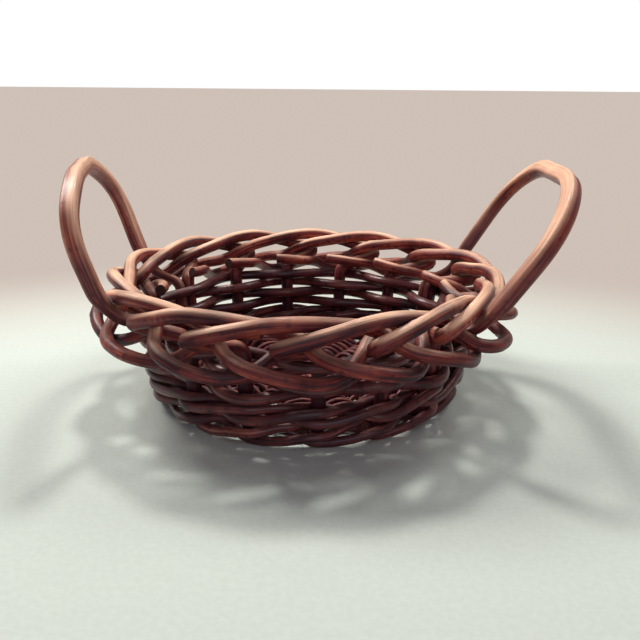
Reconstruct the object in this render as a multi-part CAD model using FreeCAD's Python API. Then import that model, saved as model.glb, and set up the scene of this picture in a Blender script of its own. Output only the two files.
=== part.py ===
import FreeCAD, Part
import math
import os

os.makedirs("parts", exist_ok=True)
doc = FreeCAD.newDocument("wicker_basket")

# ---------------------------------------------------------------- dimensions
# Millimetres and degrees. Each line is one cell of the sheet.
DIMENSIONS = (
    ("stake_count", 15),
    ("stake_radius", 5.2),
    ("wall_top_radius", 128),
    ("wall_lean", 7),
    ("stake_bend_radius", 14),
    ("pattern_turn", 0.5),
    ("uneven_spacing", 4),
    ("weave_gap", 0.15),
    ("wale_radius", 3.7),
    ("weaver_radius", 4.4),
    ("rand_rows", 4),
    ("spoke_radius", 3.5),
    ("base_weaver_radius", 2),
    ("base_weave_start", 48),
    ("base_weave_end", 100),
    ("base_pieces", 5),
    ("foot_start_radius", 84),
    ("spoke_end_radius", 106),
    ("handle_section", 11.5),
    ("handle_foot_section", 8),
    ("handle_edge_round", 2.2),
    ("handle_rise", 86),
    ("right_handle_reach", 56),
    ("right_handle_skew", 0),
    ("left_handle_reach", 17),
    ("left_handle_skew", 20),
    ("handle_half_width", 104),
)
sheet = doc.addObject("Spreadsheet::Sheet", "dimensions")
for row, (alias, value) in enumerate(DIMENSIONS, start=1):
    sheet.set("A%d" % row, alias)
    sheet.set("B%d" % row, str(value))
    sheet.setAlias("B%d" % row, alias)
doc.recompute()


def size(alias):
    return float(sheet.get(alias))


stake_count = int(size("stake_count"))
pitch_angle = 360.0 / stake_count
stake_radius = size("stake_radius")
rod = 2 * stake_radius
gap = size("weave_gap")
wale_radius = size("wale_radius")
weaver_radius = size("weaver_radius")
spoke_radius = size("spoke_radius")
base_weaver_radius = size("base_weaver_radius")
lean = math.radians(size("wall_lean"))
wall_top_radius = size("wall_top_radius")
bend_radius = size("stake_bend_radius")

# Heights follow from what lies on what.
base_level = stake_radius + 2 * base_weaver_radius + 4 * gap
bend_angle = math.pi / 2 - lean
bend_cut = bend_radius * math.tan(bend_angle / 2)
wale_step = 2.24 * wale_radius + gap
rand_step = 2 * weaver_radius + 2 * gap
first_wale = bend_radius * bend_angle / 2 + gap
wale_stations = (first_wale, first_wale + 2 * wale_step + gap)
first_rand = wale_stations[1] + wale_step + rand_step / 2 + gap
wall_length = first_rand + (size("rand_rows") - 0.5) * rand_step + gap
straight_wall = wall_length - bend_radius * bend_angle
wall_top = base_level + (straight_wall + bend_cut) * math.cos(lean)
wall_foot_radius = wall_top_radius - (wall_top - base_level) * math.tan(lean)
spoke_turn = math.degrees(math.asin(
    (spoke_radius + stake_radius + gap) / size("foot_start_radius")))


# ---------------------------------------------------------------- geometry
def add(a, b, scale=1.0):
    return tuple(p + q * scale for p, q in zip(a, b))


def minus(a, b):
    return tuple(p - q for p, q in zip(a, b))


def length(a):
    return math.sqrt(sum(p * p for p in a))


def unit(a):
    size_of = length(a)
    return tuple(p / size_of for p in a)


def dot(a, b):
    return sum(p * q for p, q in zip(a, b))


def polar(radius, angle, height):
    turn = math.radians(angle)
    return (radius * math.cos(turn), radius * math.sin(turn), height)


# The stakes are not spaced quite evenly: those round the back stand a little
# further on, and two at the front a little nearer to the rest.
UNEVEN = {
    0: -1.7, 1: -2, 2: -2, 3: -2, 4: -2, 5: -2, 6: -2, 7: -1,
    9: 1, 13: -1, 14: -1.3,
}


def kink_angle(place):
    """Where a stake turns into the border; places between are shared out."""
    low = math.floor(place)
    share = place - low
    near = UNEVEN.get(low % stake_count, 0)
    following = UNEVEN.get((low + 1) % stake_count, 0)
    shift = size("uneven_spacing") * (near + (following - near) * share)
    return size("pattern_turn") + place * pitch_angle + shift


def stake_angle(index):
    return kink_angle(index + 0.46)


def wall_frame(station):
    """Radius, height and outward normal of a stake at a length along it."""
    turned = min(max(station / bend_radius, 0.0), bend_angle)
    centre_radius = wall_foot_radius - bend_cut
    centre_height = base_level + bend_radius
    radius = centre_radius + bend_radius * math.sin(turned)
    height = centre_height - bend_radius * math.cos(turned)
    beyond = station - bend_radius * bend_angle
    if beyond > 0:
        radius += beyond * math.sin(lean)
        height += beyond * math.cos(lean)
    return radius, height, (math.sin(turned), -math.cos(turned))


def wall_point(station, angle, out, along=0.0, side=0.0):
    """A point beside a stake: out along its normal, along its length."""
    radius, height, normal = wall_frame(station)
    tangent = (-normal[1], normal[0])
    radius += normal[0] * out + tangent[0] * along
    height += normal[1] * out + tangent[1] * along
    point = polar(radius, angle, height)
    across = polar(1.0, angle + 90, 0.0)
    return add(point, across, side)


def stake_direction(station, angle):
    behind = wall_point(station - 0.5, angle, 0)
    return unit(minus(wall_point(station + 0.5, angle, 0), behind))


def corner_turn(before, corner, after):
    first = unit(minus(corner, before))
    second = unit(minus(after, corner))
    return math.acos(max(-1.0, min(1.0, dot(first, second))))


def corner_cuts(corners, wanted):
    """Tangent length of the arc at each inner corner.

    Wanted is one length for all, or a list with one for each corner.
    """
    if not isinstance(wanted, list):
        wanted = [wanted] * len(corners)
    cuts = [0.0]
    for index in range(1, len(corners) - 1):
        before = length(minus(corners[index], corners[index - 1]))
        after = length(minus(corners[index + 1], corners[index]))
        cuts.append(min(wanted[index], 0.47 * before, 0.47 * after))
    cuts.append(0.0)
    return cuts


def corner_arc(before, corner, after, cut):
    """The arc that rounds a corner: a point on it by angle, turn, radius."""
    back = unit(minus(before, corner))
    ahead = unit(minus(after, corner))
    turn = corner_turn(before, corner, after)
    radius = cut / math.tan(turn / 2)
    inward = unit(add(back, ahead))
    centre = add(corner, inward, radius / math.cos(turn / 2))
    axis_x = minus(add(corner, back, cut), centre)
    axis_y = tuple(-radius * p for p in back)

    def point_at(swept):
        point = add(centre, axis_x, math.cos(swept))
        return add(point, axis_y, math.sin(swept))

    return point_at, turn, radius


def across_axis(offset, axis):
    return add(offset, axis, -dot(offset, axis))


def run_distance(point, axis, corner, direction, cut):
    """Distance from a rod's axis to a straight run that starts past cut."""
    offset = across_axis(minus(corner, point), axis)
    heading = across_axis(direction, axis)
    along = max(cut, -dot(offset, heading) / max(dot(heading, heading), 1e-9))
    return length(add(offset, heading, along))


def corner_distance(station, corners, index, cut):
    """How near the rod comes to the axis of the rod that it passes."""
    point, side, clear, axis = station
    before, corner, after = corners[index - 1:index + 2]
    point_at, turn, radius = corner_arc(before, corner, after, cut)
    nearest = [run_distance(point, axis, corner, unit(minus(before, corner)), cut),
               run_distance(point, axis, corner, unit(minus(after, corner)), cut)]
    for part in range(9):
        offset = minus(point_at(turn * part / 8), point)
        nearest.append(length(across_axis(offset, axis)))
    return min(nearest)


def woven_corners(stations, wanted):
    """Place corners so that the rod just clears the ones that it passes.

    A station is the axis point of that rod, the side to pass it on, the
    clearance, and the direction of its axis.
    """
    extra = [0.0] * len(stations)
    for attempt in range(14):
        corners = [add(point, side, clear + more)
                   for (point, side, clear, axis), more in zip(stations, extra)]
        cuts = corner_cuts(corners, wanted)
        for index in range(1, len(corners) - 1):
            clear = stations[index][2]
            if clear > 0:
                extra[index] += clear - corner_distance(
                    stations[index], corners, index, cuts[index])
    return corners


def rod_edges(corners, wanted, split_ends=False, end_gap=0.6):
    """Straight runs joined by tangent arcs.

    With split_ends the rod runs only from the middle of the first arc to
    the middle of the last, short by end_gap at both.
    """
    cuts = corner_cuts(corners, wanted)
    runs = []
    last = corners[0]
    final = len(corners) - 2
    for index in range(1, len(corners) - 1):
        before, corner, after = corners[index - 1:index + 2]
        if corner_turn(before, corner, after) < 0.01:
            continue
        point_at, turn, radius = corner_arc(before, corner, after, cuts[index])
        low, high = 0.0, turn
        if split_ends and index == 1:
            low = turn / 2 + end_gap / radius
        else:
            runs.append(("line", last, point_at(0)))
        if split_ends and index == final:
            high = turn / 2 - end_gap / radius
        last = point_at(high)
        if high > low + 0.002:
            runs.append(("arc", point_at(low), point_at((low + high) / 2), last))
    if not split_ends:
        runs.append(("line", last, corners[-1]))
    return [run for run in runs if length(minus(run[-1], run[1])) > 0.01]


def vector(point):
    return FreeCAD.Vector(*point)


def make_edge(run):
    if run[0] == "line":
        return Part.LineSegment(vector(run[1]), vector(run[2])).toShape()
    return Part.Arc(*[vector(point) for point in run[1:]]).toShape()


def add_piece(name, shape):
    piece = doc.addObject("Part::Feature", name)
    piece.Label = name
    piece.Shape = shape
    piece.Placement = FreeCAD.Placement()
    return piece


def bent_rod(name, radius, runs):
    """A round rod swept along straight runs and arcs."""
    edges = [make_edge(run) for run in runs]
    wire = Part.Wire(edges)
    first = runs[0]
    start = vector(first[1])
    heading = edges[0].tangentAt(edges[0].FirstParameter)
    section = Part.Wire(Part.Circle(start, heading, radius).toShape())
    return add_piece(name, wire.makePipeShell([section], True, True))


# ---------------------------------------------------------------- base sticks
stick_pitch = 2 * spoke_radius + 2 * gap
layer = spoke_radius + gap
fan_radius = size("base_weave_start") - base_weaver_radius - 2 * gap


def spoke_angle(index):
    return stake_angle(index) - spoke_turn


middle_spoke = 8
spin = math.radians(spoke_angle(middle_spoke) - 180)


def spun(point):
    x, y, z = point
    return (x * math.cos(spin) - y * math.sin(spin),
            x * math.sin(spin) + y * math.cos(spin), z)


def spoke_run(steps_from_middle):
    """The inner and outer end of the straight part of a spoke."""
    angle = spoke_angle(middle_spoke + steps_from_middle)
    return [polar(fan_radius, angle, base_level),
            polar(size("spoke_end_radius"), angle, base_level)]


def stick(name, start, finish, cross):
    """A stick crossing the middle, then fanning out to two spokes."""
    corners = spoke_run(start)[::-1] + [spun(p) for p in cross]
    corners += spoke_run(finish)
    bent_rod(name, spoke_radius, rod_edges(corners, 6))


# The lower sticks run one way and the upper ones across them.
LOWER_STICKS = ((-2, -6, 2), (-1, -7, 1), (1, 7, -1), (2, 6, -2))
UPPER_STICKS = ((-3, 3, -1), (-4, 4, 0), (-5, 5, 1))
lower_half = 2 * stick_pitch
upper_half = 2.8 * stick_pitch
for number, (start, finish, row) in enumerate(LOWER_STICKS, start=1):
    stick("base_stick_%02d" % number, start, finish,
          [(-lower_half, row * stick_pitch, base_level - layer),
           (lower_half, row * stick_pitch, base_level - layer)])
for number, (start, finish, column) in enumerate(UPPER_STICKS, start=5):
    stick("base_stick_%02d" % number, start, finish,
          [(column * stick_pitch, upper_half, base_level + layer),
           (column * stick_pitch, -upper_half, base_level + layer)])
half_stick = spoke_run(0)[::-1]
half_stick.append(spun((-lower_half, 0, base_level - layer)))
half_stick.append(spun((lower_half, 0, base_level - layer)))
bent_rod("base_half_stick", spoke_radius, rod_edges(half_stick, 6))

# ---------------------------------------------------------------- base weave
weave_pitch = 2 * base_weaver_radius + 2 * gap
weave_span = size("base_weave_end") - size("base_weave_start")
weave_steps = int(weave_span / weave_pitch * stake_count)


def base_stations(step):
    """Where the spiral weaver passes one spoke, and the stake foot by it."""
    radius = size("base_weave_start") + weave_pitch * step / stake_count
    side = 1.0 if step % 2 else -1.0
    clear = base_weaver_radius + gap
    stations = [(polar(radius, spoke_angle(step), base_level),
                 (0.0, 0.0, side), spoke_radius + clear,
                 polar(1.0, spoke_angle(step), 0.0))]
    if radius > size("foot_start_radius") - base_weaver_radius - gap:
        stations.append((polar(radius, stake_angle(step), base_level),
                         (0.0, 0.0, side), stake_radius + clear,
                         polar(1.0, stake_angle(step), 0.0)))
    return stations


def woven_pieces(name, radius, stations_of, joints, wanted):
    """Weave one long spiral and cut it into pieces at the joints."""
    course = []
    marks = {}
    for step in range(joints[0] - 1, joints[-1] + 2):
        course += stations_of(step)
        marks[step] = len(course) - 1
    corners = woven_corners(course, wanted)
    for number, (first, final) in enumerate(zip(joints, joints[1:]), start=1):
        part = corners[marks[first] - 1:marks[final] + 2]
        bent_rod("%s_%02d" % (name, number), radius,
                 rod_edges(part, wanted, split_ends=True))


def even_joints(steps, pieces):
    return [2 * round(steps * part / pieces / 2) for part in range(pieces + 1)]


woven_pieces("base_weaver", base_weaver_radius, base_stations,
             even_joints(weave_steps, int(size("base_pieces"))), 5)

# ---------------------------------------------------------------- border stakes
# One rod is stake and border in one. Its course past the wall top is
# (stake steps on from its kink, rods out from the wall, rods up from it).
COURSE = (
    (-0.08, 3.05, 1.25),
    (0.45, 2.90, 2.20),
    (0.90, 2.75, 2.95),
    (1.30, 2.20, 2.90),
    (1.65, 1.60, 2.55),
    (2.00, 1.45, 2.20),
    (2.22, 1.58, 1.70),
    (2.42, 2.68, 0.72),
    (2.70, 3.92, 0.42),
    (3.10, 4.15, -0.15),
    (3.45, 3.40, -0.68),
    (3.72, 2.45, -0.55),
    (3.95, 1.15, 0.50),
    (4.15, -0.15, 0.80),
    (4.40, -0.65, 1.05),
    (4.68, -0.75, 1.20),
)
# Where a handle passes between two rods, it holds them apart.
OVER_HANDLE = {1: (0.45, 2.85, 2.30)}
UNDER_HANDLE = {
    6: (2.22, 1.60, 1.82), 7: (2.42, 3.15, 0.20),
    8: (2.70, 4.15, -0.25), 9: (3.10, 4.15, -0.45),
}
BELOW_HANDLE = {10: (3.45, 3.40, -1.00)}
HANDLE_STAKES = (13, 1, 6, 8)
SHORT_TIP = 4.47


def border_point(index, steps, out, up):
    angle = kink_angle(index + steps)
    return polar(wall_top_radius + out * rod, angle, wall_top + up * rod)


for index in range(stake_count):
    angle = stake_angle(index)
    corners = [polar(size("foot_start_radius"), angle, base_level),
               polar(wall_foot_radius, angle, base_level),
               wall_point(wall_length + 0.25 * rod, angle, 0)]
    cuts = [0, bend_cut, 0.5 * rod]
    course = dict(enumerate(COURSE))
    if index in HANDLE_STAKES:
        course.update(OVER_HANDLE)
    if (index + 2) % stake_count in HANDLE_STAKES:
        course.update(UNDER_HANDLE)
    if (index + 3) % stake_count in HANDLE_STAKES:
        course.update(BELOW_HANDLE)
    for steps, out, up in course.values():
        corners.append(border_point(index, steps, out, up))
        cuts.append(22)
    cuts[3] = 2.4 * stake_radius
    if (index + 4) % stake_count in HANDLE_STAKES:
        corners[-1] = border_point(index, SHORT_TIP, -0.60, 1.08)
    bent_rod("border_stake_%02d" % (index + 1), stake_radius,
             rod_edges(corners, cuts))

# ---------------------------------------------------------------- wale
foot_half = size("handle_foot_section") / 2
foot_side = stake_radius + 1.28 * foot_half + gap
foot_out = 1.22 * foot_half + weaver_radius + gap
rod_out = stake_radius + weaver_radius + gap
wale_out = stake_radius + wale_radius + gap
half_step = wale_step / 2


def wale_station(station, step, out, along, clear):
    """A point of a wale rod; clear is how far it stays from the stake."""
    angle = stake_angle(step)
    if not float(step).is_integer():
        here = wall_point(station, stake_angle(math.floor(step)), 0, along)
        there = wall_point(station, stake_angle(math.ceil(step)), 0, along)
        middle = add(tuple(p * 0.5 for p in here), there, 0.5)
        return (middle, (0.0, 0.0, 1.0), 0.0, (0.0, 0.0, 1.0))
    point = wall_point(station, angle, 0, along)
    beside = wall_point(station, angle, out, along)
    return (point, unit(minus(beside, point)), clear,
            stake_direction(station, angle))


# A wale rod goes inside one stake and outside the next two.
for row, station in enumerate(wale_stations):
    for strand in range(3):
        course = []
        for turn in range(stake_count // 3 + 1):
            step = strand + 3 * turn + row
            course += [
                wale_station(station, step, -1, 0, wale_out),
                wale_station(station, step + 0.5, 0, -half_step, 0),
                wale_station(station, step + 1, 1, -half_step, wale_out),
                wale_station(station, step + 2, 1, half_step, wale_out),
                wale_station(station, step + 2.5, 0, half_step, 0),
            ]
        lead = wale_station(station, strand + row - 0.5, 0, half_step, 0)
        course = [lead] + course[:-3]
        corners = woven_corners(course, 7)
        bent_rod("wale_rod_%d" % (3 * row + strand + 1), wale_radius,
                 rod_edges(corners, 7, split_ends=True))


# ---------------------------------------------------------------- side weavers
def rand_stations(step):
    """Where the side weaver passes a stake, and a handle foot beside it."""
    row = max(0, min(int(size("rand_rows")) - 1, step // stake_count))
    station = first_rand + row * rand_step
    side = -1.0 if step % 2 == 0 else 1.0
    index = (step + RAND_START) % stake_count
    angle = stake_angle(index)
    point = wall_point(station, angle, 0)
    normal = unit(minus(wall_point(station, angle, side), point))
    axis = stake_direction(station, angle)
    stations = [(point, normal, rod_out, axis)]
    if index in HANDLE_STAKES:
        beside = wall_point(station, angle, 0, 0, foot_side)
        stations.append((beside, normal, foot_out, axis))
    return stations


RAND_START = 12
rand_rows = int(size("rand_rows"))
woven_pieces("side_weaver", weaver_radius, rand_stations,
             even_joints(rand_rows * stake_count - 1, rand_rows), 8)


# ---------------------------------------------------------------- handles
def square_section(centre, heading, up, width):
    """A square with rounded corners, across the heading."""
    side = heading.cross(up).normalize()
    lift = side.cross(heading).normalize()
    half = width / 2
    curve = size("handle_edge_round") * width / size("handle_section")
    flat = half - curve
    knee = half - curve * (1 - math.sqrt(0.5))
    edges = []
    for quarter in range(4):
        if quarter:
            side, lift = lift, -side

        def spot(across, high):
            return centre + side * across + lift * high

        edges.append(Part.LineSegment(spot(half, -flat),
                                      spot(half, flat)).toShape())
        edges.append(Part.Arc(spot(half, flat), spot(knee, knee),
                              spot(flat, half)).toShape())
    return Part.Wire(edges)


def bow(name, runs, widths, up):
    """A square bar: straight runs are lofted, arcs are revolved."""
    parts = []
    for run, (start_width, end_width) in zip(runs, widths):
        start = vector(run[1])
        finish = vector(run[-1])
        if run[0] == "line":
            heading = (finish - start).normalize()
            first = square_section(start, heading, up, start_width)
            last = square_section(finish, heading, up, end_width)
            parts.append(Part.makeLoft([first, last], True, True))
            continue
        edge = make_edge(run)
        heading = edge.tangentAt(edge.FirstParameter)
        leaving = edge.tangentAt(edge.LastParameter)
        axis = heading.cross(leaving).normalize()
        swept = math.degrees(heading.getAngle(leaving))
        face = Part.Face(square_section(start, heading, up, start_width))
        parts.append(face.revolve(edge.Curve.Center, axis, swept))
        turn = FreeCAD.Rotation(axis, swept)
        up = turn.multVec(up)
    solid = parts[0].fuse(parts[1:])
    return add_piece(name, solid.removeSplitter())


foot_depth = rand_rows * rand_step - 0.3
leg_gates = ((0.62, 2.66, 0.80), (0.62, 4.16, 2.45))


def handle(name, first_stake, second_stake, reach, skew):
    """A bow from one stake's side to another's, leaning outward by reach.

    The half on the second stake's side leans out further, by skew at its top.
    """
    ends = []
    for stake in (first_stake, second_stake):
        angle = stake_angle(stake)
        bottom = wall_point(wall_length - foot_depth, angle, 0, 0, foot_side)
        top = wall_point(wall_length + 0.3 * rod, angle, 0, 0, foot_side)
        gates = [border_point(stake, *gate) for gate in leg_gates]
        ends.append([bottom, top] + gates)
    gates = [end[-1] for end in ends]
    middle = tuple((p + q) / 2 for p, q in zip(*gates))
    half = length(minus(*gates)) / 2
    across = unit(minus(gates[1], gates[0]))
    outward = unit((middle[0], middle[1], 0.0))
    rise = unit(add((0.0, 0.0, size("handle_rise")), outward, reach))
    tall = math.hypot(size("handle_rise"), reach)

    def on_bow(wide, high):
        place = add(add(middle, across, wide), rise, high)
        return add(place, outward, skew * high / tall if wide > 0 else 0.0)

    shoulder = size("handle_half_width")
    corners = ends[0] + [
        on_bow(-shoulder, 0.66 * tall), on_bow(-0.55 * shoulder, tall),
        on_bow(0.55 * shoulder, tall), on_bow(shoulder, 0.66 * tall),
    ] + ends[1][::-1]
    cuts = [0, 7, 8, 40, 60, 60, 60, 60, 40, 8, 7, 0]
    runs = rod_edges(corners, cuts)
    full = size("handle_section")
    thin = size("handle_foot_section")
    widths = [(full, full)] * len(runs)
    widths[:4] = [(thin, thin)] * 4
    widths[-4:] = [(thin, thin)] * 4
    widths[4] = (thin, full)
    widths[-5] = (full, thin)
    up = vector(outward)
    bow(name, runs, widths, up)


handle("right_handle", 13, 1, size("right_handle_reach"), size("right_handle_skew"))
handle("left_handle", 8, 6, size("left_handle_reach"), size("left_handle_skew"))

# ---------------------------------------------------------------- checks, files
doc.recompute()
pieces = [item for item in doc.Objects if hasattr(item, "Shape")]
for item in doc.Objects:
    if "Invalid" in item.State or "Error" in item.State:
        raise RuntimeError("%s did not recompute" % item.Label)
for piece in pieces:
    if piece.Shape.isNull() or not piece.Shape.isValid():
        raise RuntimeError("%s has a bad shape" % piece.Label)
    if len(piece.Shape.Solids) != 1:
        raise RuntimeError("%s is not one solid" % piece.Label)
for piece in pieces:
    piece.Shape.exportStep("parts/%s.step" % piece.Label)
print("%d sub-parts written" % len(pieces))
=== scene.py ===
import bpy
import math
import random
from mathutils import Euler, Matrix, Vector, kdtree, noise


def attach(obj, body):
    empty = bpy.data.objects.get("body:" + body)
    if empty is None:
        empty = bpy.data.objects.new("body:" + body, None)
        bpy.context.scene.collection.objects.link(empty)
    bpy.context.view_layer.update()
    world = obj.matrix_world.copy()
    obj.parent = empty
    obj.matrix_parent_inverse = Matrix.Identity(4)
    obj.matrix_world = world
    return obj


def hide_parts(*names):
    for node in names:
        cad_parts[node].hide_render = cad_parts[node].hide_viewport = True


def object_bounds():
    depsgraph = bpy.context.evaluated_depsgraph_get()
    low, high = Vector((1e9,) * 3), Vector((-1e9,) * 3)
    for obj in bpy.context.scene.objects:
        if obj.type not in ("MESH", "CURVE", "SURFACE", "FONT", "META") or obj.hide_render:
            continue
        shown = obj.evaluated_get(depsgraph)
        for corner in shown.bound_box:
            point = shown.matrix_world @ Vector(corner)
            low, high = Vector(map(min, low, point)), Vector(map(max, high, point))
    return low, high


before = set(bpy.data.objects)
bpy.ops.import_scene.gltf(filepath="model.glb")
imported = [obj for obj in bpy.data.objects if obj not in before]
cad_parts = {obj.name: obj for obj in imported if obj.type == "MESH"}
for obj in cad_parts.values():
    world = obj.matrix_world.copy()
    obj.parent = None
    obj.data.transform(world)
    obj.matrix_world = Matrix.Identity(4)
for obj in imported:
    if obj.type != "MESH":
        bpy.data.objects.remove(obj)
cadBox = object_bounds()
mm = 0.001

# Paths are worked out in millimetres and turned into metres when a mesh is made.
wall = {
    "stakes": 15, "turn": 0.5, "shift": 4.0,
    "uneven": {0: -1.7, 1: -2, 2: -2, 3: -2, 4: -2, 5: -2, 6: -2, 7: -1,
               9: 1, 13: -1, 14: -1.3},
    "stakeRadius": 5.2, "waleRadius": 3.7, "weaverRadius": 4.4,
    "baseWeaverRadius": 2.0, "gap": 0.15, "topRadius": 128.0,
    "lean": math.radians(7), "bendRadius": 14.0, "rows": 4, "kinkAfter": 0.46,
}
pitch = 360.0 / wall["stakes"]
rodWidth = 2 * wall["stakeRadius"]
baseLevel = wall["stakeRadius"] + 2 * wall["baseWeaverRadius"] + 4 * wall["gap"]
bendAngle = math.pi / 2 - wall["lean"]
bendCut = wall["bendRadius"] * math.tan(bendAngle / 2)
waleStep = 2.24 * wall["waleRadius"] + wall["gap"]
rowStep = 2 * wall["weaverRadius"] + 2 * wall["gap"]
firstWale = wall["bendRadius"] * bendAngle / 2 + wall["gap"]
waleStations = (firstWale, firstWale + 2 * waleStep + wall["gap"])
firstRow = waleStations[1] + waleStep + rowStep / 2 + wall["gap"]
wallLength = firstRow + (wall["rows"] - 0.5) * rowStep + wall["gap"]
straightWall = wallLength - wall["bendRadius"] * bendAngle
wallTop = baseLevel + (straightWall + bendCut) * math.cos(wall["lean"])
footRadius = wall["topRadius"] - (wallTop - baseLevel) * math.tan(wall["lean"])


def clamped(value, low=0.0, high=1.0):
    return min(high, max(low, value))


def eased(share):
    return share * share * (3 - 2 * share)


def polar(radius, angle, height):
    turned = math.radians(angle)
    return Vector((radius * math.cos(turned), radius * math.sin(turned), height))


def kinkAngle(place):
    # where a stake turns into the border; the stakes are not spaced quite evenly
    low = math.floor(place)
    near = wall["uneven"].get(low % wall["stakes"], 0)
    following = wall["uneven"].get((low + 1) % wall["stakes"], 0)
    shift = wall["shift"] * (near + (following - near) * (place - low))
    return wall["turn"] + place * pitch + shift


def stakeAngle(index):
    # a stake stands a little less than half a step on from its kink
    return kinkAngle(index + wall["kinkAfter"])


def wallPoint(station, angle, out, along=0.0, side=0.0):
    # station is the length up a stake from the start of its bend
    turned = clamped(station / wall["bendRadius"], 0.0, bendAngle)
    radius = footRadius - bendCut + wall["bendRadius"] * math.sin(turned)
    height = baseLevel + wall["bendRadius"] * (1 - math.cos(turned))
    beyond = max(0.0, station - wall["bendRadius"] * bendAngle) + along
    radius += beyond * math.cos(turned) + out * math.sin(turned)
    height += beyond * math.sin(turned) - out * math.cos(turned)
    across = polar(1.0, angle + 90, 0.0)
    return polar(radius, angle, height) + across * side


def evenLine(points, spacing):
    # the same line with points an even distance apart
    reach = [0.0]
    kept = [points[0]]
    for point in points[1:]:
        step = (point - kept[-1]).length
        if step > 1e-4:
            kept.append(point)
            reach.append(reach[-1] + step)
    count = max(2, round(reach[-1] / spacing))
    line = []
    part = 0
    for number in range(count + 1):
        want = reach[-1] * number / count
        while part < len(reach) - 2 and reach[part + 1] < want:
            part += 1
        share = (want - reach[part]) / (reach[part + 1] - reach[part])
        line.append(kept[part].lerp(kept[part + 1], share))
    return line


def softLine(line, rounds):
    # each round moves every inner point half way to the middle of its neighbours
    for _ in range(rounds):
        line = [line[0]] + [(a + b * 2 + c) / 4 for a, b, c in
                            zip(line, line[1:], line[2:])] + [line[-1]]
    return line


cornerSteps = 10


def bentLine(corners, cuts, spacing):
    # each corner is eased over its cut, or over half a run where that is less
    points = [corners[0]]
    for number in range(1, len(corners) - 1):
        before, corner, after = corners[number - 1:number + 2]
        back, ahead = before - corner, after - corner
        cut = min(cuts[number], 0.5 * back.length, 0.5 * ahead.length)
        start = corner + back.normalized() * cut
        finish = corner + ahead.normalized() * cut
        for step in range(cornerSteps + 1):
            share = step / cornerSteps
            points.append(start.lerp(corner, share).lerp(
                corner.lerp(finish, share), share))
    points.append(corners[-1])
    return evenLine(points, spacing)


def drift(seed, place, scale):
    # a smooth value from -1 to 1 that changes over about one scale
    return 2.2 * noise.noise(Vector((place / scale, seed * 7.31, seed * 1.7)))


def steadyFrames(line, up):
    # a side and a lift at each point, carried along without twisting
    frames = []
    lift = up.copy()
    for number, point in enumerate(line):
        before = line[max(0, number - 1)]
        after = line[min(len(line) - 1, number + 1)]
        heading = (after - before).normalized()
        lift = (lift - heading * lift.dot(heading)).normalized()
        frames.append((heading, heading.cross(lift), lift))
    return frames


def meshPiece(name, points, faces, marks, look, node, flatFrom=None):
    mesh = bpy.data.meshes.new(name)
    mesh.from_pydata([point * mm for point in points], [], faces)
    for key, values in marks.items():
        kind, field = "FLOAT", "value"
        if key == "grain":
            kind, field = "FLOAT_VECTOR", "vector"
            values = [number for value in values for number in value]
        layer = mesh.attributes.new(key, kind, "POINT")
        layer.data.foreach_set(field, values)
    smooth = [True] * len(faces)
    if flatFrom is not None:
        smooth[flatFrom:] = [False] * (len(faces) - flatFrom)
    mesh.polygons.foreach_set("use_smooth", smooth)
    mesh.update()
    mesh.materials.append(look["material"])
    piece = bpy.data.objects.new(name, mesh)
    bpy.context.scene.collection.objects.link(piece)
    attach(piece, "root")
    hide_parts(node)
    return piece


rodLines = []

# what every rod shares, in millimetres and in shares of its radius
rodShape = {
    "up": (0.12, 0.07, 1), "swayEvery": 60, "thickEvery": 50, "wearEvery": 45,
    "roundChange": 0.8, "roundStep": 0.03, "knotClear": 12, "knotReach": 14,
    "chamfer": 0.35, "endShare": 0.9, "endGrain": 7.0, "grainApart": 40,
}
# wear and painted top light count from a height under the wall top and on the faces that
# look up
wearLightShape = {
    "most": 1.05, "change": 0.4, "from": -4, "over": 26, "least": 0.18,
    "wallShadeFrom": -16, "wallShadeOver": 20, "outward": 0.1, "faceFrom": 0.46,
    "faceOver": 0.42,
}


def knotBump(off, turned):
    # the swelling round the rod, the bump before the knot and the dent in it
    swell = math.exp(-(off / 4.5) ** 2) * 0.25
    bump = math.exp(-((off + 1) / 2.6) ** 2 - (turned / 0.55) ** 2)
    dent = math.exp(-((off - 1.5) / 1.5) ** 2 - (turned / 0.3) ** 2)
    return swell + bump - 0.8 * dent


def knotScar(off, turned):
    return math.exp(-(off / 3.2) ** 2 - (turned / 0.6) ** 2)


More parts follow.
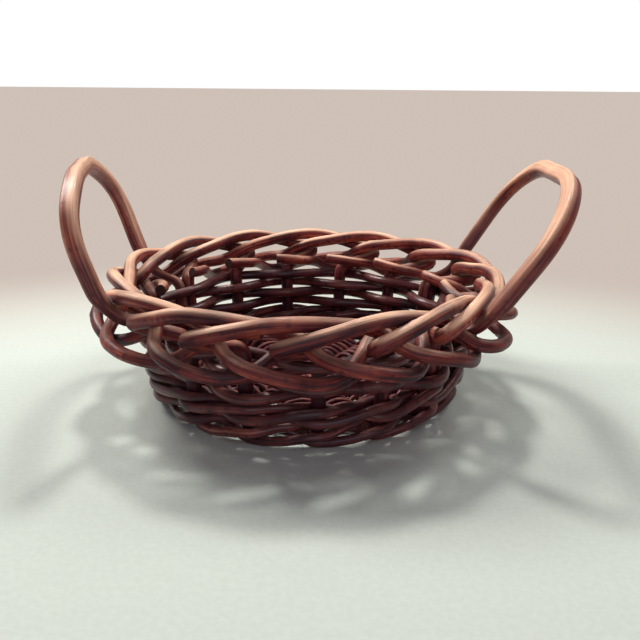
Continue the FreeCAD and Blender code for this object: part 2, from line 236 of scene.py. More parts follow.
def makeRod(name, line, radiusAt, look, node):
    # a round rod with knots, an uneven thickness and two cut ends
    rng = random.Random(name)
    seed = rng.uniform(1, 60)
    tone = rng.uniform(-1, 1)
    spacing = (line[1] - line[0]).length
    reach = spacing * (len(line) - 1)
    frames = steadyFrames(line, Vector(rodShape["up"]))
    knots = []
    place = rng.uniform(0.3, 1.0) * look["knotEvery"]
    while place < reach - rodShape["knotClear"]:
        knots.append((place, rng.uniform(0, 2 * math.pi), rng.uniform(0.5, 1)))
        place += look["knotEvery"] * rng.uniform(0.6, 1.5)
    sides = look["sides"]
    points, faces = [], []
    marks = {"grain": [], "knot": [], "cut": [], "tone": [], "wearlight": []}

    def mark(*values):
        for key, value in zip(marks, values):
            marks[key].append(value)

    for ring, (point, (heading, side, lift)) in enumerate(zip(line, frames)):
        along = ring * spacing
        share = along / reach
        sway = look["sway"] * math.sin(math.pi * share) ** 0.5
        point = point + (side * drift(seed, along, rodShape["swayEvery"])
                         + lift * drift(seed + 9, along, rodShape["swayEvery"])) * sway
        thick = radiusAt(share) * (
            1 + look["uneven"] * drift(seed + 3, along, rodShape["thickEvery"]))
        near = [knot for knot in knots if abs(knot[0] - along) < rodShape["knotReach"]]
        outward = Vector((point.x, point.y, 0)).normalized()
        above = point.z - wallTop
        rubbedAndLit = look["wearLightScale"] * (wearLightShape["most"] + wearLightShape["change"] * drift(
            seed + 12, along, rodShape["wearEvery"]))
        # the higher a rod lies in the border, the more wear and painted top light it
        # shows; lower rods keep painted shade
        rubbedAndLit *= eased(clamped((above - wearLightShape["from"]) / wearLightShape["over"],
                                 wearLightShape["least"]))
        # painted shade: a stake is darker where it stands inside the wall
        wallShade = 1 - eased(clamped((above - wearLightShape["wallShadeFrom"])
                                 / wearLightShape["wallShadeOver"]))
        shade = tone - look["wallShade"] * wallShade
        slant = 0.0
        if ring in (0, len(line) - 1):
            slant = look["slant"]
        for number in range(sides):
            around = 2 * math.pi * number / sides
            spot = Vector((math.cos(around), math.sin(around),
                           along * rodShape["roundStep"] + seed))
            radius = thick * (1 + look["uneven"] * rodShape["roundChange"]
                              * noise.noise(spot))
            scar = 0.0
            for knotPlace, knotSide, strength in near:
                off = along - knotPlace
                turned = math.remainder(around - knotSide, 2 * math.pi)
                radius += look["knotHeight"] * strength * knotBump(off, turned)
                scar = max(scar, strength * knotScar(off, turned))
            lean = heading * (slant * radius * math.cos(around - seed))
            facing = side * math.cos(around) + lift * math.sin(around)
            points.append(point + facing * radius + lean)
            # painted top light with wear: faces that look up, and a little outward, turn
            # pale
            shown = facing.z + wearLightShape["outward"] * facing.dot(outward)
            wearlight = rubbedAndLit * eased(clamped(
                (shown - wearLightShape["faceFrom"]) / wearLightShape["faceOver"]))
            mark((radius * math.cos(around), radius * math.sin(around),
                  along + seed * rodShape["grainApart"]), scar, 0.0, shade, wearlight)
        if ring:
            first = ring * sides
            for number in range(sides):
                after = (number + 1) % sides
                faces.append((first - sides + number, first - sides + after,
                              first + after, first + number))
    sideFaces = len(faces)
    # a small chamfer and a flat face close each end
    for ring, way in ((0, -1), (len(line) - 1, 1)):
        heading = frames[ring][0]
        rim = ring * sides
        middle = sum((points[rim + number] for number in range(sides)),
                     Vector()) / sides
        inner = len(points)
        raised = heading * way * rodShape["chamfer"]
        depth = way * rodShape["endGrain"]
        for number in range(sides):
            edge = points[rim + number]
            points.append(middle + (edge - middle) * rodShape["endShare"] + raised)
            x, y, _ = marks["grain"][rim + number]
            mark((x * rodShape["endShare"], y * rodShape["endShare"], depth),
                 0.0, 1.0, shade, 0.0)
        points.append(middle + raised)
        mark((0.0, 0.0, depth), 0.0, 1.0, shade, 0.0)
        hub = len(points) - 1
        for number in range(sides):
            after = (number + 1) % sides
            pair = [rim + number, rim + after, inner + after, inner + number]
            fan = [inner + number, inner + after, hub]
            if way < 0:
                pair.reverse()
                fan.reverse()
            faces += [pair, fan]
    rodLines.append((name, line, radiusAt))
    return meshPiece(name, points, faces, marks, look, node, sideFaces)


def makeGroup(name, inputs, outputs):
    group = bpy.data.node_groups.new(name, "ShaderNodeTree")
    for label, kind, value in inputs:
        socket = group.interface.new_socket(label, in_out="INPUT", socket_type=kind)
        if value is not None:
            socket.default_value = value
    for label, kind in outputs:
        group.interface.new_socket(label, in_out="OUTPUT", socket_type=kind)
    start = group.nodes.new("NodeGroupInput")
    end = group.nodes.new("NodeGroupOutput")
    start.location, end.location = (-900, 0), (900, 0)
    return group, start, end


def addNode(tree, kind, place, **settings):
    node = tree.nodes.new(kind)
    node.location = place
    for key, value in settings.items():
        setattr(node, key, value)
    return node


def addMath(tree, place, operation, first, second=None, clamp=False):
    node = addNode(tree, "ShaderNodeMath", place, operation=operation)
    node.use_clamp = clamp
    for socket, value in zip(node.inputs, (first, second)):
        if value is None:
            continue
        if isinstance(value, (int, float)):
            socket.default_value = value
        else:
            tree.links.new(value, socket)
    return node.outputs[0]


def addMix(tree, place, factor, first, second):
    node = addNode(tree, "ShaderNodeMix", place, data_type="RGBA")
    for socket, value in ((node.inputs[0], factor), (node.inputs[6], first),
                          (node.inputs[7], second)):
        if isinstance(value, (int, float, tuple)):
            socket.default_value = value
        else:
            tree.links.new(value, socket)
    return node.outputs[2]


def addRange(tree, place, value, low, high):
    # 0 at low to 1 at high, eased
    node = addNode(tree, "ShaderNodeMapRange", place,
                   interpolation_type="SMOOTHSTEP")
    tree.links.new(value, node.inputs[0])
    node.inputs[1].default_value = low
    node.inputs[2].default_value = high
    return node.outputs[0]


def makeFibreGroup():
    # streaks that run the length of a rod, broad patches of stain, and small pits
    group, start, end = makeGroup("willowFibre", [
        ("Place", "NodeSocketVector", None),
        ("Across", "NodeSocketFloat", 0.9),
        ("Along", "NodeSocketFloat", 0.03),
        ("Patch Size", "NodeSocketFloat", 0.03),
    ], [("Streak", "NodeSocketFloat"), ("Fine", "NodeSocketFloat"),
        ("Patch", "NodeSocketFloat"), ("Pits", "NodeSocketFloat")])
    links = group.links
    scale = addNode(group, "ShaderNodeCombineXYZ", (-700, 200))
    links.new(start.outputs["Across"], scale.inputs[0])
    links.new(start.outputs["Across"], scale.inputs[1])
    links.new(start.outputs["Along"], scale.inputs[2])
    stretched = addNode(group, "ShaderNodeVectorMath", (-500, 200),
                        operation="MULTIPLY")
    links.new(start.outputs["Place"], stretched.inputs[0])
    links.new(scale.outputs[0], stretched.inputs[1])
    streak = addNode(group, "ShaderNodeTexNoise", (-250, 300))
    streak.inputs["Scale"].default_value = 1.0
    streak.inputs["Detail"].default_value = 3.0
    streak.inputs["Roughness"].default_value = 0.6
    links.new(stretched.outputs[0], streak.inputs["Vector"])
    fine = addNode(group, "ShaderNodeTexNoise", (-250, 0))
    fine.inputs["Scale"].default_value = 4.2
    fine.inputs["Detail"].default_value = 2.0
    links.new(stretched.outputs[0], fine.inputs["Vector"])
    patch = addNode(group, "ShaderNodeTexNoise", (-250, -300))
    patch.inputs["Detail"].default_value = 3.0
    links.new(start.outputs["Place"], patch.inputs["Vector"])
    links.new(start.outputs["Patch Size"], patch.inputs["Scale"])
    pits = addNode(group, "ShaderNodeTexVoronoi", (-250, -600))
    pits.inputs["Scale"].default_value = 0.14
    links.new(start.outputs["Place"], pits.inputs["Vector"])
    links.new(addRange(group, (200, 300), streak.outputs[0], 0.3, 0.7),
              end.inputs["Streak"])
    links.new(addRange(group, (200, 0), fine.outputs[0], 0.3, 0.7),
              end.inputs["Fine"])
    links.new(addRange(group, (200, -300), patch.outputs[0], 0.32, 0.68),
              end.inputs["Patch"])
    links.new(addRange(group, (200, -600), pits.outputs["Distance"],
                       0.32, 0.16), end.inputs["Pits"])
    return group


def makeStainGroup():
    # the stained colour of a rod, with its knots, cut ends, wear with painted top light,
    # and painted shade with dirt where rods touch
    group, start, end = makeGroup("willowStain", [
        ("Dark", "NodeSocketColor", (0.05, 0.012, 0.012, 1)),
        ("Mid", "NodeSocketColor", (0.15, 0.04, 0.03, 1)),
        ("Light", "NodeSocketColor", (0.3, 0.11, 0.06, 1)),
        ("Bare", "NodeSocketColor", (0.5, 0.25, 0.15, 1)),
        ("Pith", "NodeSocketColor", (0.2, 0.1, 0.06, 1)),
        ("Streak", "NodeSocketFloat", 0.5), ("Fine", "NodeSocketFloat", 0.5),
        ("Patch", "NodeSocketFloat", 0.5), ("Pits", "NodeSocketFloat", 0.0),
        ("Knot", "NodeSocketFloat", 0.0), ("Cut", "NodeSocketFloat", 0.0),
        ("Tone", "NodeSocketFloat", 0.0), ("Shadedirt", "NodeSocketFloat", 0.0),
        ("Wearlight", "NodeSocketFloat", 0.0),
    ], [("Color", "NodeSocketColor"), ("Roughness", "NodeSocketFloat"),
        ("Height", "NodeSocketFloat")])
    links = group.links
    wood = addMath(group, (-700, 300), "MULTIPLY", start.outputs["Streak"], 0.55)
    wood = addMath(group, (-600, 300), "ADD", wood, addMath(
        group, (-700, 150), "MULTIPLY", start.outputs["Fine"], 0.18))
    wood = addMath(group, (-500, 300), "ADD", wood, addMath(
        group, (-700, 0), "MULTIPLY", start.outputs["Patch"], 0.42))
    # Tone holds a rod's random tone and also painted shade and painted light
    wood = addMath(group, (-400, 300), "ADD", wood, addMath(
        group, (-700, -150), "MULTIPLY", start.outputs["Tone"], 0.16))
    deep = addMix(group, (-200, 300), addRange(group, (-300, 200), wood, 0.1, 0.6),
                  start.outputs["Dark"], start.outputs["Mid"])
    colour = addMix(group, (0, 300), addRange(group, (-100, 150), wood, 0.55, 1.1),
                    deep, start.outputs["Light"])
    marked = addMath(group, (0, 0), "MAXIMUM", start.outputs["Knot"], addMath(
        group, (-200, -50), "MULTIPLY", start.outputs["Pits"], 0.6))
    # painted shade and dirt where rods touch darken the colour too
    marked = addMath(group, (100, 0), "MAXIMUM", marked, addMath(
        group, (-200, -250), "MULTIPLY", start.outputs["Shadedirt"], 0.92))
    colour = addMix(group, (200, 300), marked, colour, start.outputs["Dark"])
    # wear and painted top light turn the colour towards the pale colour
    thinned = addMath(group, (100, 100), "MULTIPLY_ADD", wood, 0.7)
    thinned.node.inputs[2].default_value = 0.4
    bareAndLitShare = addMath(group, (200, 100), "MULTIPLY", start.outputs["Wearlight"], thinned,
                     True)
    colour = addMix(group, (300, 300), bareAndLitShare, colour, start.outputs["Bare"])
    colour = addMix(group, (400, 300), start.outputs["Cut"], colour,
                    start.outputs["Pith"])
    links.new(colour, end.inputs["Color"])
    rough = addMath(group, (400, 0), "MULTIPLY_ADD", start.outputs["Fine"], 0.14)
    rough.node.inputs[2].default_value = 0.42
    rough = addMath(group, (500, 0), "ADD", rough, addMath(
        group, (400, -150), "MULTIPLY", start.outputs["Cut"], 0.35))
    rough = addMath(group, (600, 0), "ADD", rough, addMath(
        group, (400, -250), "MULTIPLY", start.outputs["Shadedirt"], 0.18), True)
    links.new(rough, end.inputs["Roughness"])
    height = addMath(group, (500, -400), "MULTIPLY", start.outputs["Streak"], 0.7)
    height = addMath(group, (600, -400), "ADD", height, addMath(
        group, (500, -550), "MULTIPLY", start.outputs["Fine"], 0.3))
    height = addMath(group, (700, -400), "SUBTRACT", height, addMath(
        group, (500, -700), "MULTIPLY", start.outputs["Pits"], 0.4))
    links.new(height, end.inputs["Height"])
    return group


fibreGroup = makeFibreGroup()
stainGroup = makeStainGroup()


def makeWillow(name, finish):
    material = bpy.data.materials.new(name)
    material.use_nodes = True
    tree = material.node_tree
    links = tree.links
    shader = tree.nodes["Principled BSDF"]
    marks = {}
    for number, key in enumerate(("grain", "knot", "cut", "tone", "shadedirt",
                                  "wearlight")):
        marks[key] = addNode(tree, "ShaderNodeAttribute", (-1100, 400 - 180 * number),
                             attribute_name=key)
    fibre = addNode(tree, "ShaderNodeGroup", (-800, 300), node_tree=fibreGroup)
    stain = addNode(tree, "ShaderNodeGroup", (-500, 300), node_tree=stainGroup)
    links.new(marks["grain"].outputs["Vector"], fibre.inputs["Place"])
    for key in ("Across", "Along", "Patch Size"):
        fibre.inputs[key].default_value = finish[key]
    for key in ("Dark", "Mid", "Light", "Bare", "Pith"):
        stain.inputs[key].default_value = finish[key] + (1.0,)
    for key in ("Streak", "Fine", "Patch", "Pits"):
        links.new(fibre.outputs[key], stain.inputs[key])
    for key in ("knot", "cut", "tone", "shadedirt", "wearlight"):
        links.new(marks[key].outputs["Fac"], stain.inputs[key.title()])
    bump = addNode(tree, "ShaderNodeBump", (-250, -100))
    bump.inputs["Strength"].default_value = finish["bump"]
    bump.inputs["Distance"].default_value = finish["depth"] * mm
    links.new(stain.outputs["Height"], bump.inputs["Height"])
    links.new(bump.outputs[0], shader.inputs["Normal"])
    links.new(stain.outputs["Color"], shader.inputs["Base Color"])
    links.new(stain.outputs["Roughness"], shader.inputs["Roughness"])
    shader.inputs["Specular IOR Level"].default_value = finish["specular"]
    shader.inputs["Coat Weight"].default_value = finish["coat"]
    shader.inputs["Coat Roughness"].default_value = finish["coatRough"]
    return material


borderFinish = {
    "Dark": (0.030, 0.003, 0.010), "Mid": (0.165, 0.024, 0.022),
    # the pale last colour on the next line is worn stain together with painted top light
    "Light": (0.46, 0.105, 0.062), "Bare": (0.95, 0.58, 0.39),
    # painted shade: the cut ends of the border, wale, side and base rods are dark
    "Pith": (0.05, 0.020, 0.018),
    "Across": 0.42, "Along": 0.018, "Patch Size": 0.035,
    "bump": 0.55, "depth": 0.5, "specular": 0.2, "coat": 0.14, "coatRough": 0.24,
}
weaveFinish = dict(borderFinish, Mid=(0.115, 0.020, 0.023),
                   Light=(0.31, 0.082, 0.056), Across=0.6, coat=0.5)
baseFinish = dict(weaveFinish, Mid=(0.11, 0.018, 0.026), Across=0.8, coat=0.04)
handleFinish = {
    "Dark": (0.075, 0.013, 0.020), "Mid": (0.22, 0.042, 0.036),
    "Light": (0.50, 0.165, 0.085), "Bare": (0.90, 0.54, 0.36),
    "Pith": (0.30, 0.16, 0.09),
    "Across": 0.50, "Along": 0.012, "Patch Size": 0.02,
    "bump": 0.4, "depth": 0.4, "specular": 0.2, "coat": 0.18, "coatRough": 0.24,
}
borderWillow = makeWillow("stainedBorderWillow", borderFinish)
weaveWillow = makeWillow("stainedWeaveWillow", weaveFinish)
baseWillow = makeWillow("stainedBaseWillow", baseFinish)
bentAsh = makeWillow("varnishedBentWood", handleFinish)
print("finishes ready")

# the border: each stake rises through the wall and runs on round the rim
# course gives stake steps on from its kink, rods out and rods up from the wall top
border = {
    "course": (
        (-0.08, 3.05, 1.25), (0.45, 2.90, 2.20), (0.90, 2.75, 2.95),
        (1.30, 2.20, 2.90), (1.65, 1.60, 2.55), (2.00, 1.45, 2.20),
        (2.22, 1.58, 1.70), (2.42, 2.68, 0.72), (2.70, 3.92, 0.42),
        (3.10, 4.15, -0.15), (3.45, 3.40, -0.68), (3.72, 2.45, -0.55),
        (3.95, 1.15, 0.50), (4.15, -0.15, 0.80), (4.40, -0.65, 1.05),
        (4.68, -0.75, 1.20),
    ),
    "overHandle": {1: (0.45, 2.85, 2.30)},
    "underHandle": {6: (2.22, 1.60, 1.82), 7: (2.42, 3.15, 0.20),
                    8: (2.70, 4.15, -0.25), 9: (3.10, 4.15, -0.45)},
    "belowHandle": {10: (3.45, 3.40, -1.00)},
    "handleStakes": (13, 1, 6, 8),
    "shortTip": (4.47, -0.60, 1.08),
    "footStart": 84.0, "loose": 0.035, "cut": 26,
    "footRadius": 5.2, "buttRadius": 5.75, "tipRadius": 4.65,
    "swellBy": 0.22, "taperFrom": 0.26,
}
borderLook = {
    "material": borderWillow, "slot": "stakes", "sides": 20, "knotEvery": 95,
    "knotHeight": 0.55, "uneven": 0.022, "sway": 0.25, "slant": 0.25, "wearLightScale": 0.95,
    "wallShade": 2.4, "spacing": 2.2,
}


def borderPoint(index, steps, out, up):
    return polar(wall["topRadius"] + out * rodWidth, kinkAngle(index + steps),
                 wallTop + up * rodWidth)


def borderRadius(share):
    # thickest about a quarter of the way along, and tapered from there to the tip
    growth = border["buttRadius"] - border["footRadius"]
    swell = border["footRadius"] + growth * eased(clamped(share / border["swellBy"]))
    fall = max(0.0, (share - border["taperFrom"]) / (1 - border["taperFrom"]))
    return swell - (border["buttRadius"] - border["tipRadius"]) * fall ** 0.8


for index in range(wall["stakes"]):
    rng = random.Random(100 + index)
    angle = stakeAngle(index)
    corners = [polar(border["footStart"], angle, baseLevel),
               polar(footRadius, angle, baseLevel),
               wallPoint(wallLength + 0.25 * rodWidth, angle, 0)]
    cuts = [0, bendCut * 1.1, 0.5 * rodWidth, 2.5 * wall["stakeRadius"]]
    course = dict(enumerate(border["course"]))
    if index in border["handleStakes"]:
        course.update(border["overHandle"])
    if (index + 2) % wall["stakes"] in border["handleStakes"]:
        course.update(border["underHandle"])
    if (index + 3) % wall["stakes"] in border["handleStakes"]:
        course.update(border["belowHandle"])
    for steps, out, up in course.values():
        loose = border["loose"]
        corners.append(borderPoint(index, steps, out + rng.uniform(-loose, loose),
                                   up + rng.uniform(-loose, loose)))
        cuts.append(border["cut"])
    if (index + 4) % wall["stakes"] in border["handleStakes"]:
        corners[-1] = borderPoint(index, *border["shortTip"])
    line = softLine(bentLine(corners, cuts, borderLook["spacing"]), 2)
    makeRod("borderRod%02d" % (index + 1), line, borderRadius, borderLook,
            "border_stake_%02d" % (index + 1))
print("border rods made")

# the wale: three rods at a time, each inside one stake and outside the next two
wale = {"radius": 3.8, "stepParts": 14, "crossing": 0.8}
waleLook = {
    "material": weaveWillow, "slot": "weave", "sides": 14, "knotEvery": 130,
    "knotHeight": 0.35, "uneven": 0.03, "sway": 0.25, "slant": 0.3, "wearLightScale": 0.5,
    "wallShade": 0.5, "spacing": 2.4,
}


def wovenLine(stations, spacing):
    # stations are (stake step, length up the stake, rods out); the line eases
    # from one to the next round the wall
    points = []
    for (step, station, out), (nextStep, nextStation, nextOut) in zip(
            stations, stations[1:]):
        count = max(2, round((nextStep - step) * wale["stepParts"]))
        for number in range(count):
            share = number / count
            slide = eased(share)
            points.append(wallPoint(
                station + (nextStation - station) * slide,
                stakeAngle(step + (nextStep - step) * share),
                out + (nextOut - out) * slide))
    step, station, out = stations[-1]
    points.append(wallPoint(station, stakeAngle(step), out))
    return softLine(evenLine(points, spacing), 3)


def waleRadius(share):
    return wale["radius"] * (1.03 - 0.10 * share)


waleOut = wall["stakeRadius"] + wall["waleRadius"] + wall["gap"]
halfStep = waleStep / 2
for row, station in enumerate(waleStations):
    for strand in range(3):
        stations = []
        for turn in range(wall["stakes"] // 3 + 1):
            step = strand + 3 * turn + row
            stations += [(step, station, -waleOut),
                         (step + 0.5, station - halfStep * wale["crossing"], 0),
                         (step + 1, station - halfStep, waleOut),
                         (step + 2, station + halfStep, waleOut),
                         (step + 2.5, station + halfStep * wale["crossing"], 0)]
        stations = stations[:-4]
        number = 3 * row + strand + 1
        makeRod("waleRod%d" % number, wovenLine(stations, waleLook["spacing"]),
                waleRadius, waleLook, "wale_rod_%d" % number)
print("wale made")

# the side: one weaver at a time, inside one stake and outside the next
side = {"radius": 4.45, "start": 12,
        "out": wall["stakeRadius"] + wall["weaverRadius"] + wall["gap"]}
sideLook = dict(waleLook, knotEvery=110)


def sideRadius(share):
    return side["radius"] * (1.06 - 0.12 * share)


def evenJoints(steps, count):
    # where a long weaver is cut into pieces, always at an even step
    return [2 * round(steps * part / count / 2) for part in range(count + 1)]


joints = evenJoints(wall["rows"] * wall["stakes"] - 1, wall["rows"])
for number, (first, last) in enumerate(zip(joints, joints[1:]), start=1):
    stations = []
    for step in range(first, last + 1):
        row = clamped(step // wall["stakes"], 0, wall["rows"] - 1)
        way = -1 if step % 2 == 0 else 1
        stations.append((step + side["start"], firstRow + row * rowStep,
                         way * side["out"]))
    makeRod("sideWeaver%02d" % number, wovenLine(stations, sideLook["spacing"]),
            sideRadius, sideLook, "side_weaver_%02d" % number)
print("side weavers made")

# the base: crossed sticks that fan out, with a thin weaver spiralling over and under
base = {
    "spokeRadius": 3.5, "weaverRadius": 2.0, "start": 48.0, "end": 100.0,
    "pieces": 5, "spokeEnd": 106.0, "middleSpoke": 8, "stepParts": 16,
    "stickCut": 8,
    "lower": ((-2, -6, 2), (-1, -7, 1), (1, 7, -1), (2, 6, -2)),
    "upper": ((-3, 3, -1), (-4, 4, 0), (-5, 5, 1)),
}
baseLook = {
    "material": baseWillow, "slot": "base", "sides": 12, "knotEvery": 150,
    "knotHeight": 0.3, "uneven": 0.03, "sway": 0.12, "slant": 0.2, "wearLightScale": 0.4,
    "wallShade": 0.0, "spacing": 2.4,
}
thinLook = dict(baseLook, sides=10, knotEvery=400, sway=0.1, spacing=1.8)
spokeTurn = math.degrees(math.asin(
    (base["spokeRadius"] + wall["stakeRadius"] + wall["gap"])
    / border["footStart"]))
stickPitch = 2 * base["spokeRadius"] + 2 * wall["gap"]
layer = base["spokeRadius"] + wall["gap"]
fanRadius = base["start"] - base["weaverRadius"] - 2 * wall["gap"]


def spokeAngle(index):
    return stakeAngle(index) - spokeTurn


spin = Matrix.Rotation(math.radians(spokeAngle(base["middleSpoke"]) - 180), 3, "Z")


def spokeRun(stepsFromMiddle):
    angle = spokeAngle(base["middleSpoke"] + stepsFromMiddle)
    return [polar(fanRadius, angle, baseLevel),
            polar(base["spokeEnd"], angle, baseLevel)]


def spokeRadius(share):
    return base["spokeRadius"] * (1.04 - 0.08 * share)


def makeStick(name, corners, node):
    cuts = [base["stickCut"]] * len(corners)
    line = softLine(bentLine(corners, cuts, baseLook["spacing"]), 2)
    makeRod(name, line, spokeRadius, baseLook, node)


lowerHalf = 2 * stickPitch
upperHalf = 2.8 * stickPitch
for number, (start, finish, row) in enumerate(base["lower"], start=1):
    cross = [spin @ Vector((way * lowerHalf, row * stickPitch, baseLevel - layer))
             for way in (-1, 1)]
    makeStick("baseStick%02d" % number,
              spokeRun(start)[::-1] + cross + spokeRun(finish),
              "base_stick_%02d" % number)
for number, (start, finish, column) in enumerate(base["upper"], start=5):
    cross = [spin @ Vector((column * stickPitch, way * upperHalf,
                            baseLevel + layer)) for way in (1, -1)]
    makeStick("baseStick%02d" % number,
              spokeRun(start)[::-1] + cross + spokeRun(finish),
              "base_stick_%02d" % number)
makeStick("baseHalfStick", spokeRun(0)[::-1] + [
    spin @ Vector((way * lowerHalf, 0, baseLevel - layer)) for way in (-1, 1)],
    "base_half_stick")

weavePitch = 2 * base["weaverRadius"] + 2 * wall["gap"]
weaveSteps = int((base["end"] - base["start"]) / weavePitch * wall["stakes"])


def basePoint(step):
    # height swings between over and under, level while a stick and a foot pass
    radius = base["start"] + weavePitch * step / wall["stakes"]
    nearest = math.floor(step + 0.5)
    off = (step - nearest) * pitch
    foot = 0.0
    if radius > border["footStart"] - base["weaverRadius"] - wall["gap"]:
        foot = spokeTurn
    way = 1 if nearest % 2 else -1
    swing = base["spokeRadius"] + base["weaverRadius"] + wall["gap"]
    if foot:
        swing += (wall["stakeRadius"] - base["spokeRadius"]) * eased(
            clamped(off / foot))
    room = pitch / 2
    if foot and off > 0:
        fade = max(0.0, (off - foot) / (room - foot))
    else:
        fade = min(1.0, abs(off) / room)
    swing *= math.cos(fade * math.pi / 2) ** 0.8
    return polar(radius, spokeAngle(step), baseLevel + way * swing)


def thinRadius(share):
    return base["weaverRadius"]


joints = evenJoints(weaveSteps, base["pieces"])
for number, (first, last) in enumerate(zip(joints, joints[1:]), start=1):
    points = []
    count = (last - first) * base["stepParts"]
    for part in range(count + 1):
        points.append(basePoint(first + (last - first) * part / count))
    line = softLine(evenLine(points, thinLook["spacing"]), 3)
    makeRod("baseWeaver%02d" % number, line, thinRadius, thinLook,
            "base_weaver_%02d" % number)
print("base made")

# the handles: a square bar bent to a bow, with thin feet pushed down by two stakes
handle = {
    "section": 11.5, "foot": 8.0, "edgeRound": 2.2, "rise": 86.0,
    "halfWidth": 104.0, "gates": ((0.62, 2.66, 0.80), (0.62, 4.16, 2.45)),
    "shoulder": 0.66, "crown": 0.55, "spacing": 2.5,
    "cuts": (0, 7, 9, 44, 66, 66, 66, 66, 44, 9, 7, 0),
    "footLength": 74, "footEase": 22,
    # name, its two stakes, how far it leans out, how far its second half leans
    # further, the start of its random shape, and its CAD node
    "bows": (("rightHandle", 13, 1, 56.0, 0.0, 11.0, "right_handle"),
             ("leftHandle", 8, 6, 17.0, 20.0, 23.0, "left_handle")),
    "material": bentAsh, "slot": "handles",
}
# painted light: a bow is paler at its top and on the faces that look up and inward; its
# edges are a little worn as well
bowWearLight = {
    "from": 20, "over": 72, "up": 1.1, "inward": 0.6, "least": 0.22, "edge": 0.25,
    "low": 0.35, "high": 0.6, "lowTone": 1.8, "faceTone": 1.3,
}
footHalf = handle["foot"] / 2
footSide = wall["stakeRadius"] + 1.28 * footHalf + wall["gap"]
footDepth = wall["rows"] * rowStep - 0.3


def squareRing(width):
    # corner points of a rounded square, each with how near it is to a corner
    half = width / 2
    curve = handle["edgeRound"] * width / handle["section"]
    ring = []
    for quarter in range(4):
        turned = quarter * math.pi / 2
        spots = [(half, (half - curve) * part / 3, 0.0) for part in (-2, 0, 2)]
        for part in range(5):
            bend = part / 4 * math.pi / 2
            spots.append((half - curve + curve * math.cos(bend),
                          half - curve + curve * math.sin(bend), 1.0))
        for x, y, edge in spots:
            ring.append((x * math.cos(turned) - y * math.sin(turned),
                         x * math.sin(turned) + y * math.cos(turned), edge))
    return ring


def barRadius(share):
    return handle["section"] / 2


def makeBow(name, firstStake, secondStake, reach, skew, seed, node):
    ends = []
    for stake in (firstStake, secondStake):
        angle = stakeAngle(stake)
        ends.append([wallPoint(wallLength - footDepth, angle, 0, 0, footSide),
                     wallPoint(wallLength + 0.3 * rodWidth, angle, 0, 0, footSide)]
                    + [borderPoint(stake, *gate) for gate in handle["gates"]])
    gates = [end[-1] for end in ends]
    middle = (gates[0] + gates[1]) / 2
    across = (gates[1] - gates[0]).normalized()
    outward = Vector((middle.x, middle.y, 0)).normalized()
    tall = math.hypot(handle["rise"], reach)
    rise = (Vector((0, 0, handle["rise"])) + outward * reach).normalized()
    wide = handle["halfWidth"]
    shoulder, crown = handle["shoulder"] * tall, handle["crown"] * wide
    bow = [middle + across * x + rise * y
           + outward * (skew * y / tall if x > 0 else 0.0) for x, y in (
        (-wide, shoulder), (-crown, tall), (crown, tall), (wide, shoulder))]
    corners = ends[0] + bow + ends[1][::-1]
    line = softLine(bentLine(corners, handle["cuts"], handle["spacing"]), 3)
    spacing = (line[1] - line[0]).length
    reachAll = spacing * (len(line) - 1)
    frames = steadyFrames(line, outward)
    points, faces = [], []
    marks = {"grain": [], "wearlight": [], "cut": [], "tone": []}
    count = len(squareRing(10))
    for number, (point, (heading, sideways, lift)) in enumerate(zip(line, frames)):
        along = number * spacing
        fromEnd = min(along, reachAll - along)
        width = handle["foot"] + (handle["section"] - handle["foot"]) * eased(
            clamped((fromEnd - handle["footLength"]) / handle["footEase"]))
        width *= 1 + 0.012 * drift(seed, along, 70)
        twist = 0.05 * drift(seed + 5, along, 140)
        high = eased(clamped((point.z - wallTop - bowWearLight["from"])
                             / bowWearLight["over"]))
        for x, y, edge in squareRing(width):
            spot = Vector((x, y)) * (1 + 0.010 * drift(seed + x + 3 * y, along, 30))
            px = spot.x * math.cos(twist) - spot.y * math.sin(twist)
            py = spot.x * math.sin(twist) + spot.y * math.cos(twist)
            points.append(point + sideways * px + lift * py)
            marks["grain"].append((x, y, along + seed * 30))
            facing = (sideways * px + lift * py).normalized()
            baredAndLit = eased(clamped(bowWearLight["up"] * facing.z - bowWearLight["least"]
                                  - bowWearLight["inward"] * facing.dot(outward)))
            marks["wearlight"].append(min(1.0, (bowWearLight["edge"] * edge + baredAndLit)
                                     * (bowWearLight["low"] + bowWearLight["high"] * high)))
            marks["cut"].append(0.0)
            # painted shade on the low parts of a bow and painted light on the faces that
            # look up
            marks["tone"].append(bowWearLight["lowTone"] * (high - 1)
                                 + bowWearLight["faceTone"] * facing.z)
        if number:
            first = number * count
            for part in range(count):
                after = (part + 1) % count
                faces.append((first - count + part, first - count + after,
                              first + after, first + part))
    sideFaces = len(faces)
    for ring, way in ((0, -1), (len(line) - 1, 1)):
        rim = [points[ring * count + part] for part in range(count)]
        capStart = len(points)
        for part, spot in enumerate(rim):
            points.append(spot)
            marks["grain"].append(marks["grain"][ring * count + part])
            marks["wearlight"].append(0.0)
            marks["cut"].append(1.0)
            marks["tone"].append(0.0)
        cap = [capStart + part for part in range(count)]
        faces.append(cap if way > 0 else cap[::-1])
    rodLines.append((name, line, barRadius))
    return meshPiece(name, points, faces, marks, handle, node, sideFaces)


for bow in handle["bows"]:
    makeBow(*bow)
print("handles made")

